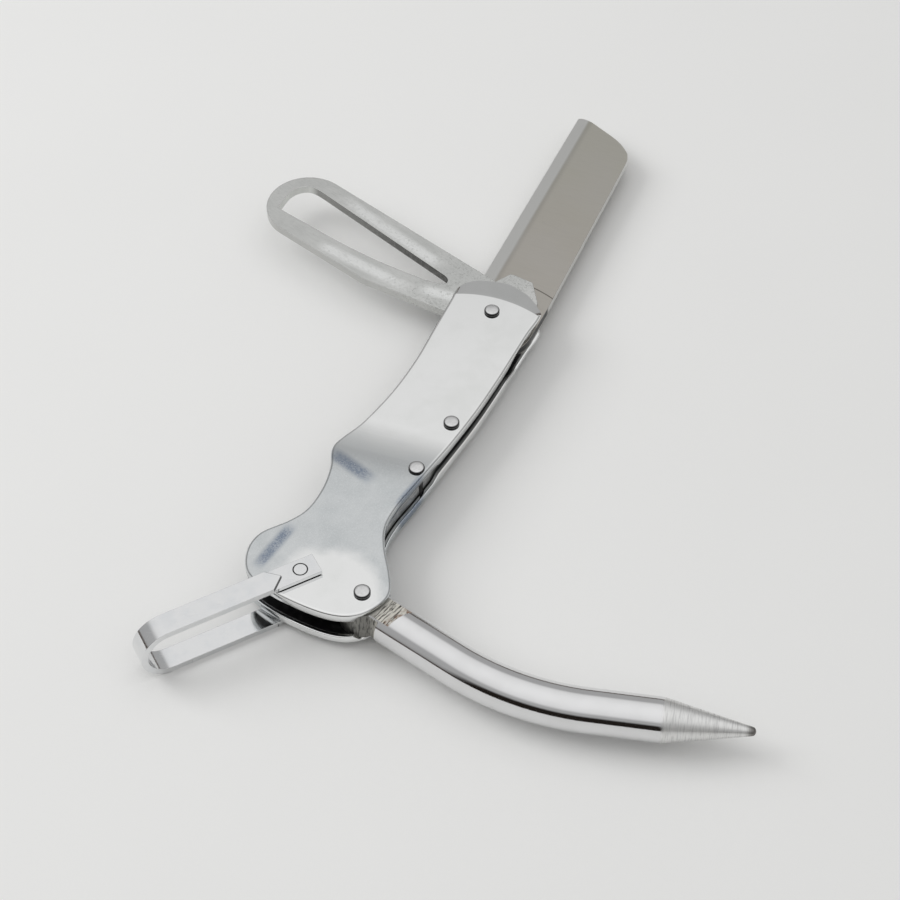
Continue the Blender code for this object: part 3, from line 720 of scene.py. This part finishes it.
# Marlinspike: a bent, bright round bar that tapers to a blunt point. Its root is milled flat to fit
# between the scales, and turns on the lower pivot.
SPIKE_PIVOT = (0.0, -PIVOT_SPACING)
SPIKE_ANGLE = -18.0
SPIKE_RADIUS = 4.5
SPIKE_ROOT = 22.8
SPIKE_BEND_RADIUS = 57.0
SPIKE_BEND = 28.4
SPIKE_STRAIGHT = 13.8
SPIKE_TAPER = 18.0
SPIKE_TIP = 0.9
SPIKE_TANG = 7.1
HUB = 4.9
rows = [(0.4 * i, 0.0, 0.0, SPIKE_RADIUS) for i in range(0, 58, 4)]
for i in range(29):
    turn = math.radians(SPIKE_BEND * i / 28)
    rows.append((SPIKE_ROOT + SPIKE_BEND_RADIUS * math.sin(turn),
                 SPIKE_BEND_RADIUS * (1 - math.cos(turn)), turn, SPIKE_RADIUS))
x, y, turn, _ = rows[-1]
ends = [(SPIKE_STRAIGHT - 0.8, SPIKE_RADIUS), (SPIKE_STRAIGHT - 0.3, SPIKE_RADIUS - 0.01)]
for i in range(1, 24):
    share = i / 24
    ends.append((SPIKE_STRAIGHT + (SPIKE_TAPER - 0.7) * share,
                 SPIKE_RADIUS + (SPIKE_TIP - SPIKE_RADIUS) * share))
ends += [(SPIKE_STRAIGHT + SPIKE_TAPER - 0.7 + 0.7 * math.sin(math.radians(a)),
          SPIKE_TIP * math.cos(math.radians(a))) for a in (0, 25, 50, 70, 85)]
rows += [(x + run * math.cos(turn), y + run * math.sin(turn), turn, size) for run, size in ends]
rings = []
for x, y, turn, radius in rows:
    ring = []
    for i in range(72):
        angle = 2 * math.pi * (i + 0.5) / 72
        side, height = radius * math.cos(angle), radius * math.sin(angle)
        ring.append((x - side * math.sin(turn), y + side * math.cos(turn), height))
    rings.append(ring)
bm = bmesh.new()
loft(bm, rings)
turned(bm, SPIKE_PIVOT, SPIKE_ANGLE)
metal = Finish("spike_bright", (0.78, 0.78, 0.785), 0.08, SPIKE_ANGLE, SPIKE_PIVOT)
bend = math.radians(SPIKE_BEND)
end_x = SPIKE_ROOT + SPIKE_BEND_RADIUS * math.sin(bend)
end_y = SPIKE_BEND_RADIUS * (1 - math.cos(bend))
along = (metal.x - end_x) * math.cos(bend) + (metal.y - end_y) * math.sin(bend)
cone = along.step(SPIKE_STRAIGHT - 0.4, SPIKE_STRAIGHT + 0.6)
turning = metal.noise(stretch=(5.0, 0.35, 0.35), detail=3.0, turn=-SPIKE_BEND)
draw = metal.noise(stretch=(0.12, 3.0, 3.0), detail=3.0)
cloud = metal.noise(scale=0.25, detail=3.0)
metal.colour(cloud.step(0.35, 0.7) * 0.3, (0.70, 0.70, 0.70))
metal.colour(cone * 0.6, (0.84, 0.84, 0.82))
metal.colour(cone * turning.step(0.45, 0.7) * 0.5, (0.46, 0.46, 0.46))
metal.colour(along.step(SPIKE_STRAIGHT + SPIKE_TAPER - 2.4, SPIKE_STRAIGHT + SPIKE_TAPER - 0.6) * 0.85,
             (0.12, 0.11, 0.10))
metal.rough(cone * (turning * 0.25 + 0.16) + cloud * 0.05 + 0.06 + draw.step(0.6, 0.8) * 0.06)
metal.bump(turning * cone * 0.5 + draw * 0.12, 0.02)
milled = Finish("spike_milled", (0.72, 0.70, 0.64), 0.4, SPIKE_ANGLE, SPIKE_PIVOT)
grooves = milled.noise(stretch=(3.2, 0.30, 0.35), detail=4.0, roughness=0.7, turn=3.0)
shoulder = milled.x - milled.y * 0.31
rust = milled.noise(scale=0.9, detail=4.0, roughness=0.7).step(0.46, 0.60) * shoulder.step(7.2, 9.3)
milled.colour(grooves.step(0.50, 0.58) * 0.95, (0.05, 0.045, 0.04))
# Painted shade: the root near the pivot, down in the handle's hollow, is dark.
milled.colour((1 - milled.x.step(3.2, 6.4)) * 0.75, (0.14, 0.14, 0.135))
milled.colour(rust * 0.8, (0.22, 0.09, 0.04))
milled.rough(grooves * 0.3 + 0.3)
milled.bump(grooves, 0.05)
spike = finish_piece("spike_bar", bm, "spike_body", [metal, milled], ["marlinspike"])
notch = bmesh.new()
loft(notch, [[(-1.0, -6.0, z), (6.3, -6.0, z), (6.3, -3.0, z), (-1.0, -3.0, z)] for z in (-10.0, 10.0)])
turned(notch, SPIKE_PIVOT, SPIKE_ANGLE)
combine(spike, notch)
hub = bmesh.new()
for vert in round_bar(hub, (0.0, 0.0), HUB, -6.0, 6.0):
    for face in vert.link_faces:
        face.smooth = True
turned(hub, SPIKE_PIVOT, SPIKE_ANGLE)
combine(spike, hub, "UNION")
flats = bmesh.new()
outline = [(-9.0, -9.0), (6.65, -9.0), (12.3, 9.0), (-9.0, 9.0)]
loft(flats, [[(x, y, z) for x, y in outline] for z in (SPIKE_TANG / 2, 12.0)])
loft(flats, [[(x, y, z) for x, y in outline] for z in (-12.0, -SPIKE_TANG / 2)])
turned(flats, SPIKE_PIVOT, SPIKE_ANGLE)
combine(spike, flats)
bore = bmesh.new()
round_bar(bore, SPIKE_PIVOT, HOLE, -6.0, 14.0)
combine(spike, bore)
spike.data.set_sharp_from_angle(angle=math.radians(30))

# Bail: a polished strip bent into a U. Its ends are thinned to pads with a pointed step, and turn on a
# short lug in each scale, whose peened end leaves a fine round groove in the pad, painted near-black as
# shade.
BAIL_ANGLE = 226.7
BAIL_REACH = 35.5
BAIL_WIDTH = 4.8
BAIL_INNER_HALF = THICK_HALF + 0.25
BAIL_STRIP = 1.4
BAIL_PAD = 0.9
BAIL_PAD_END = 3.7
strip_outer = BAIL_INNER_HALF + BAIL_STRIP
bend_centre = BAIL_REACH - strip_outer
turns = [math.pi * i / 40 for i in range(41)]
side_view = [(-BAIL_PAD_END, strip_outer)]
side_view += [(bend_centre + strip_outer * math.sin(a), strip_outer * math.cos(a)) for a in turns]
side_view += [(-BAIL_PAD_END, -strip_outer), (-BAIL_PAD_END, -BAIL_INNER_HALF)]
side_view += [(bend_centre + BAIL_INNER_HALF * math.sin(a), -BAIL_INNER_HALF * math.cos(a)) for a in turns]
side_view += [(-BAIL_PAD_END, BAIL_INNER_HALF)]
bm = bmesh.new()
loft(bm, [[(x, y, z) for x, z in side_view] for y in (-BAIL_WIDTH / 2, BAIL_WIDTH / 2)])
turned(bm, BAIL_LUG, BAIL_ANGLE)
metal = Finish("bail_bright", (0.80, 0.805, 0.81), 0.1, BAIL_ANGLE, BAIL_LUG)
scratch = metal.noise(stretch=(0.25, 8.0, 2.0), turn=25.0, detail=2.0).step(0.66, 0.72)
scuff = metal.noise(stretch=(6.0, 0.3, 2.0), turn=-15.0, detail=2.0).step(0.68, 0.74)
cloud = metal.noise(scale=0.3, detail=3.0)
pad_step = (metal.x - 4.1 - metal.y.math("ABSOLUTE") * 1.075).math("ABSOLUTE")
outer = metal.z.math("ABSOLUTE").step(BAIL_INNER_HALF + 0.5, BAIL_INNER_HALF + 0.7)
metal.colour(cloud.step(0.4, 0.7) * 0.3, (0.66, 0.69, 0.72))
# Painted shade: a dark line along the pointed step on the pad's outer face.
metal.colour((1 - pad_step.step(0.06, 0.22)) * outer * 0.85, (0.06, 0.06, 0.06))
metal.rough(cloud * 0.08 + 0.06 + scratch * 0.18 + scuff * 0.15)
metal.bump(cloud * 0.4 + (scratch + scuff) * -0.05, 0.02)
# The groove's faces get a near-black metal, as painted shade in the recess.
shaded_groove = Finish("bail_lug_groove", (0.08, 0.08, 0.08), 0.4, BAIL_ANGLE, BAIL_LUG)
shaded_groove.rough(shaded_groove.noise(scale=2.0) * 0.3 + 0.3)
bail = finish_piece("bail_strip", bm, "bail_body", [metal], ["bail"], 0.2)
pads = bmesh.new()
pad_face = BAIL_INNER_HALF + BAIL_PAD
chevron = [(-6.0, -4.0), (8.4, -4.0), (4.1, 0.0), (8.4, 4.0), (-6.0, 4.0)]
loft(pads, [[(x, y, z) for x, y in chevron] for z in (pad_face, 12.0)])
loft(pads, [[(x, y, z) for x, y in chevron] for z in (-12.0, -pad_face)])
turned(pads, BAIL_LUG, BAIL_ANGLE)
combine(bail, pads)
bail.data.materials.append(shaded_groove.material)
lug_ring = bmesh.new()
for side in (-1, 1):
    deep, high = side * (pad_face - 0.12), side * (pad_face + 1)
    spin_round(lug_ring, [(1.32, deep), (1.54, deep), (1.54, high), (1.32, high)], closed=True)
turned(lug_ring, BAIL_LUG, BAIL_ANGLE)
combine(bail, lug_ring)
bm = bmesh.new()
for side in (-1, 1):
    ends = sorted((side * (THICK_HALF - SHEET + 0.05), side * (BAIL_INNER_HALF + 0.4)))
    round_bar(bm, (0.0, 0.0), 1.8, ends[0], ends[1])
turned(bm, BAIL_LUG, BAIL_ANGLE)
finish_piece("bail_lugs", bm, "bail_body", [metal], ["bail"])
